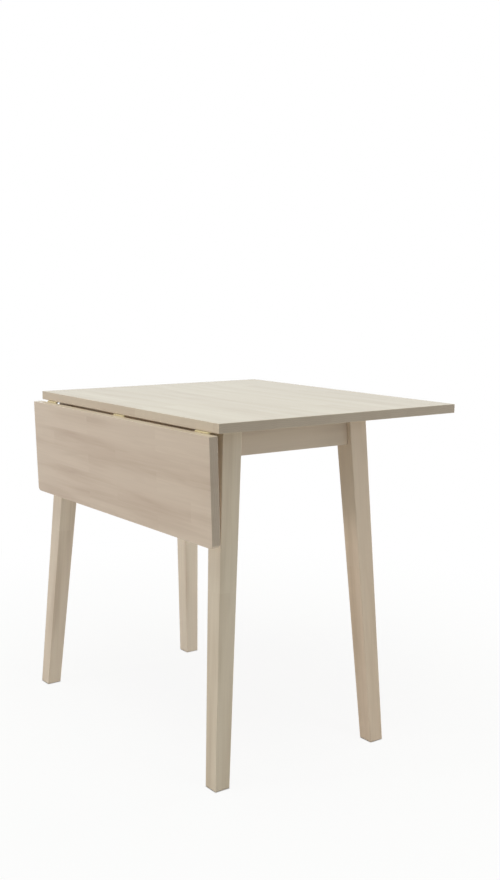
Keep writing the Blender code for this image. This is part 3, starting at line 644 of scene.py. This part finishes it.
def crossScrew(kind):
    # head a dome that falls off with a power of the radius, with two crossed grooves that run out at their
    # ends, then neck, shank and point
    size, shares = screws[kind], screws["domeRings"]
    shank = size["shank"]
    radii = np.concatenate([size["head"] * shares, [shank, shank, screws["point"] * shank]])
    dome = size["rise"] * np.sqrt(np.clip(1 - shares ** screws["domePower"], 0, 1))
    heights = np.concatenate([dome, [-size["neck"], 2 * shank - size["length"], -size["length"]]])

    def cross(x, y):
        longer, shorter = np.maximum(abs(x), abs(y)), np.minimum(abs(x), abs(y))
        runOut = np.clip(1 - (longer / (screws["crossReach"] * size["head"])) ** 2, 0, 1)
        wall = np.clip(screws["crossWall"] - shorter / (screws["crossWidth"] * size["head"]), 0, 1)
        depth = size["depth"] * np.sqrt(runOut) * wall
        return np.where((np.arange(len(radii)) < len(shares))[:, None], depth, 0)

    return turnedSurface(radii, heights, screws["sides"], cross)


def placeScrew(node, kind, body, place, toward, material):
    # the head's outer end is at the CAD screw's end on that side
    points = nodePoints(node, place)
    toward = np.array(toward, float)
    reach = np.ptp(points @ toward) / 2 - screws[kind]["rise"]
    seat = (points.min(0) + points.max(0)) / 2 + toward * reach
    turn = Vector((0, 0, 1)).rotation_difference(Vector(toward)).to_matrix().to_4x4()
    clock = Matrix.Rotation(seat @ screws["clock"], 4, "Z")
    rim, faces = crossScrew(kind)
    spot = place @ Matrix.Translation(seat) @ turn @ clock
    addPiece(pieceName(node), (moved(rim, spot), faces), material, body, [node])


hinges = {
    "places": ("front", "middle", "back"),
    "knuckles": 5, "knuckle": 0.0024, "gap": 0.0003,
    "sheet": 0.0013, "width": 0.022, "length": 0.045,
    "bore": 0.0014, "seam": 25.0,  # where the rolled sheet ends, degrees above the plate's side of the axis
    "rollSteps": (26, 24),  # outside and inside
    "tail": 0.001, "sunk": 0.00003,  # how far the rolled sheet runs on into the plate, and below its faces
    "corner": 0.0008, "ease": 0.00015,
    "pin": 0.0011, "pinEnd": 0.0008, "pinEase": 0.0005, "pinSides": 24,
    "pit": (0.0029, 0.0017), "pitDepth": 0.0011, "pitSides": 40,  # countersunk hole, wide and narrow radius
    "slot": "brass",
}


def pittedPlate(low, high, spots):
    # eased plate whose lower face is filled up to the rim of each countersunk hole, a cone that narrows into
    # the sheet
    sides = hinges["pitSides"]
    points, faces = easedPlate(low, high, hinges["corner"], hinges["ease"])
    openFace = faces.pop(-2)
    turns = np.linspace(0, math.tau, sides, endpoint=False)
    circle = np.stack([np.cos(turns), np.sin(turns)], axis=-1)
    depths = np.array([0, hinges["pitDepth"]])[:, None, None]
    heights = np.broadcast_to(low[2] + depths, (2, sides, 1))
    parts, order = [(points, faces)], list(openFace)
    for number, spot in enumerate(spots):
        rings = np.concatenate([spot[:2] + np.array(hinges["pit"])[:, None, None] * circle, heights], axis=-1)
        walls, wallFaces = carriedProfile(rings)
        parts.append((walls, wallFaces[:-2] + wallFaces[-1:]))  # open at the rim
        start = len(points) + number * len(walls)
        order += range(start, start + sides)
    rim, faces = joined(parts)
    loops = np.split(rim[order], [len(openFace) + n * sides for n in range(len(spots))])
    filled = tessellate_polygon([[Vector(point) for point in loop] for loop in loops])
    return rim, faces + [[order[i] for i in triangle] for triangle in filled]


def hingeHalf(side, first, spots):
    # flat plate with eased edges, and a sheet rolled nearly round the pin carried along each knuckle
    size, half, sunk = hinges["knuckle"], hinges["length"] / 2, hinges["sunk"]
    root = size + hinges["gap"]
    spans = sorted((side * root, side * hinges["width"]))
    under = size - hinges["sheet"]
    low, high = np.array([spans[0], -half, under]), np.array([spans[1], half, size])
    outer = np.radians(np.linspace(90, 360 + hinges["seam"], hinges["rollSteps"][0]))
    inner = np.linspace(outer[-1], math.asin(under / hinges["bore"]), hinges["rollSteps"][1])
    tail = root + hinges["tail"]
    loop = np.concatenate([
        size * np.stack([np.cos(outer), np.sin(outer)], axis=-1),
        hinges["bore"] * np.stack([np.cos(inner), np.sin(inner)], axis=-1),
        [[tail, under + sunk], [tail, size - sunk], [0.3 * root, size - sunk]]]) * (side, 1)
    pitch = hinges["length"] / hinges["knuckles"]
    parts = [pittedPlate(low, high, spots)]
    for number in range(first, hinges["knuckles"], 2):
        ends = -half + pitch * np.array([number, number + 1]) + hinges["gap"] / 2 * np.array([1, -1])
        parts.append(carriedProfile(np.stack([np.insert(loop, 1, end, axis=1) for end in ends])))
    return joined(parts)


def hingePin():
    # circle carried along the pin, drawn in by a quarter circle at both ends
    along, inset = endCurve(hinges["pinEase"])
    reach = hinges["length"] / 2 + hinges["pinEnd"]
    heights = np.concatenate([along - reach, (reach - along)[::-1]])
    return turnedSurface(hinges["pin"] - np.concatenate([inset, inset[::-1]]), heights, hinges["pinSides"])


def makeHinges():
    metal = sheetMetal(brass)
    pin, pinFaces = hingePin()
    layPin = Matrix.Rotation(-math.pi / 2, 4, "X")
    halves = (("top", "table", hingePlace, 1, 0), ("leaf", "leaf", leafPlace, -1, 1))
    for name in hinges["places"]:
        pinNode = "hinge_pin_" + name
        slide = Matrix.Translation((0, nodeMiddle(pinNode).y, 0))
        for half, body, place, side, first in halves:
            plateNode = f"hinge_{half}_plate_{name}"
            screwNodes = [f"hinge_{half}_screw_{name}_{number}" for number in (1, 2)]
            spans = [nodePoints(node, place @ slide) for node in screwNodes]
            rim, faces = hingeHalf(side, first, [(span.min(0) + span.max(0)) / 2 for span in spans])
            addPiece(pieceName(plateNode), (moved(rim, place @ slide), faces), metal, body, [plateNode])
            for node in screwNodes:
                placeScrew(node, "countersunk", body, place, (0, 0, -1), metal)
        rim = moved(pin, hingePlace @ slide @ layPin)
        addPiece(pieceName(pinNode), (rim, pinFaces), metal, "table", [pinNode])


makeHinges()
print("hinges made")


stays = {
    "sides": ("front", "back"),
    "armHalf": 0.0070, "armEase": 0.0004, "armSteps": 17,
    "head": 0.0048, "headHeight": 0.0015, "shank": 0.0025, "headSides": 32,
    "domeTurns": np.linspace(0.06, math.pi / 2, 9),  # from a small flat on the crown to the rim
    "topScrews": ("front", "back", "leaf_side_front", "leaf_side_back", "end_front", "end_back"),
    "slot": "zinc_plated_steel",
}


def domedRivet(node, material, body):
    # quarter ellipse at each end, a flat under each head, and the shank between, turned round Y
    low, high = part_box(node)
    reach, turns = (high.y - low.y) / 2, stays["domeTurns"]
    radii = np.concatenate([stays["head"] * np.sin(turns), [stays["shank"]]])
    drops = stays["headHeight"] * np.concatenate([1 - np.cos(turns), [1.0]])
    rim, faces = turnedSurface(np.concatenate([radii, radii[::-1]]),
                               np.concatenate([reach - drops, (drops - reach)[::-1]]), stays["headSides"])
    place = Matrix.Translation(nodeMiddle(node)) @ Matrix.Rotation(-math.pi / 2, 4, "X")
    addPiece(pieceName(node), (moved(rim, place), faces), material, body, [node])


def stayArm(side, material, body):
    # two half circles joined by straight sides, carried through the thickness and drawn in at both faces
    node = "stay_arm_" + side
    low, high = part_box(node)
    start, finish = (np.array(nodeMiddle(end + side))[[0, 2]] for end in ("stay_rivet_", "stay_pin_"))
    lean = math.atan2(*(finish - start)[::-1])
    turns = lean + np.linspace(math.pi / 2, 1.5 * math.pi, stays["armSteps"])
    along, inset = endCurve(stays["armEase"])
    reach = (stays["armHalf"] - inset)[:, None, None]
    arc = np.stack([np.cos(turns), np.sin(turns)], axis=-1)
    loops = np.concatenate([start + reach * arc, finish - reach * arc], axis=1)
    near = np.insert(loops, 1, (low.y + along)[:, None], axis=2)
    far = np.insert(loops, 1, (high.y - along)[:, None], axis=2)[::-1]
    surface = carriedProfile(np.concatenate([near, far]))
    addPiece(pieceName(node), surface, material, body, [node])


def makeStays():
    metal = sheetMetal(zinc)
    for side in stays["sides"]:
        arm = side + "_stay_arm"
        stayArm(side, metal, arm)
        domedRivet("stay_pin_" + side, metal, arm)
        domedRivet("stay_rivet_" + side, metal, "table")
        # brackets and slotted tracks keep their CAD shape
        for node in ("stay_bracket_" + side, "stay_track_" + side):
            nodes[node].data.materials.clear()
            nodes[node].data.materials.append(metal)
        for number in (1, 2):
            placeScrew(f"stay_bracket_screw_{side}_{number}", "pan", "table", tablePlace, (-1, 0, 0), metal)
            placeScrew(f"stay_track_screw_{side}_{number}", "pan", "leaf", leafPlace, (0, 0, -1), metal)
    for name in stays["topScrews"]:
        placeScrew("top_screw_" + name, "deepPan", "table", tablePlace, (0, 0, -1), metal)


makeStays()
print("stays and top screws made")


# moulded nylon: dark, with a dull skin that scuffs paler where it rubs
glides = {
    "disc": 0.0105, "thickness": 0.0010, "rim": 0.0004, "upperRim": 0.0002, "nail": 0.0014, "length": 0.0130,
    "crown": (0.02, 0.6), "point": 0.1,  # shares of the disc's and of the nail's radius
    "sides": 40, "skin": "#2E2822", "scuff": "#5A5148", "grit": 0.0012, "slot": "nylon_glides",
}


def mouldedNylon():
    material, tree = newMaterial("moulded nylon, scuffed")
    coords = addNode(tree, "TexCoord")
    grit = addNode(tree, "TexNoise", {"Scale": 1 / glides["grit"], "Detail": 2.0},
                   {"Vector": coords.outputs["Object"]})
    share = addNode(tree, "MapRange", {"From Min": 0.48, "From Max": 0.72, "To Max": 0.7},
                    {"Value": grit.outputs[0]})
    colour = addNode(tree, "Mix", {
        "data_type": "RGBA", 6: linearColour(glides["skin"]), 7: linearColour(glides["scuff"])},
        {0: share.outputs[0]})
    dull = addNode(tree, "MapRange", {"To Min": 0.42, "To Max": 0.62}, {"Value": grit.outputs[0]})
    bump = addNode(tree, "Bump", {"Strength": 0.15, "Distance": 0.0002}, {"Height": grit.outputs[0]})
    shader = addNode(tree, "BsdfPrincipled", {"IOR": 1.53}, {
        "Base Color": colour.outputs[2], "Roughness": dull.outputs[0], "Normal": bump.outputs[0]})
    addNode(tree, "OutputMaterial", links={"Surface": shader.outputs[0]})
    return material


def glideSurface():
    # disc with a quarter-circle rim below and a nail up into the foot, turned round Z
    turns = np.linspace(0, math.pi / 2, 6)
    disc, rim, upperRim, nail = (glides[key] for key in ("disc", "rim", "upperRim", "nail"))
    top, tip = glides["thickness"], glides["length"]
    radii = np.concatenate([disc * np.array(glides["crown"]), disc - rim + rim * np.sin(turns),
                            [disc, disc - upperRim, nail, nail, glides["point"] * nail]])
    heights = np.concatenate([[0, 0], rim - rim * np.cos(turns), [top - upperRim, top, top, tip - nail, tip]])
    return turnedSurface(radii, heights, glides["sides"])


def makeGlides():
    nylon = mouldedNylon()
    disc, faces = glideSurface()
    for key in corners:
        node = "glide_" + key
        place = Matrix.Translation(nodeMiddle(node).to_2d().to_3d())
        addPiece(pieceName(node), (moved(disc, place), faces), nylon, "table", [node])


makeGlides()
print("glides made")
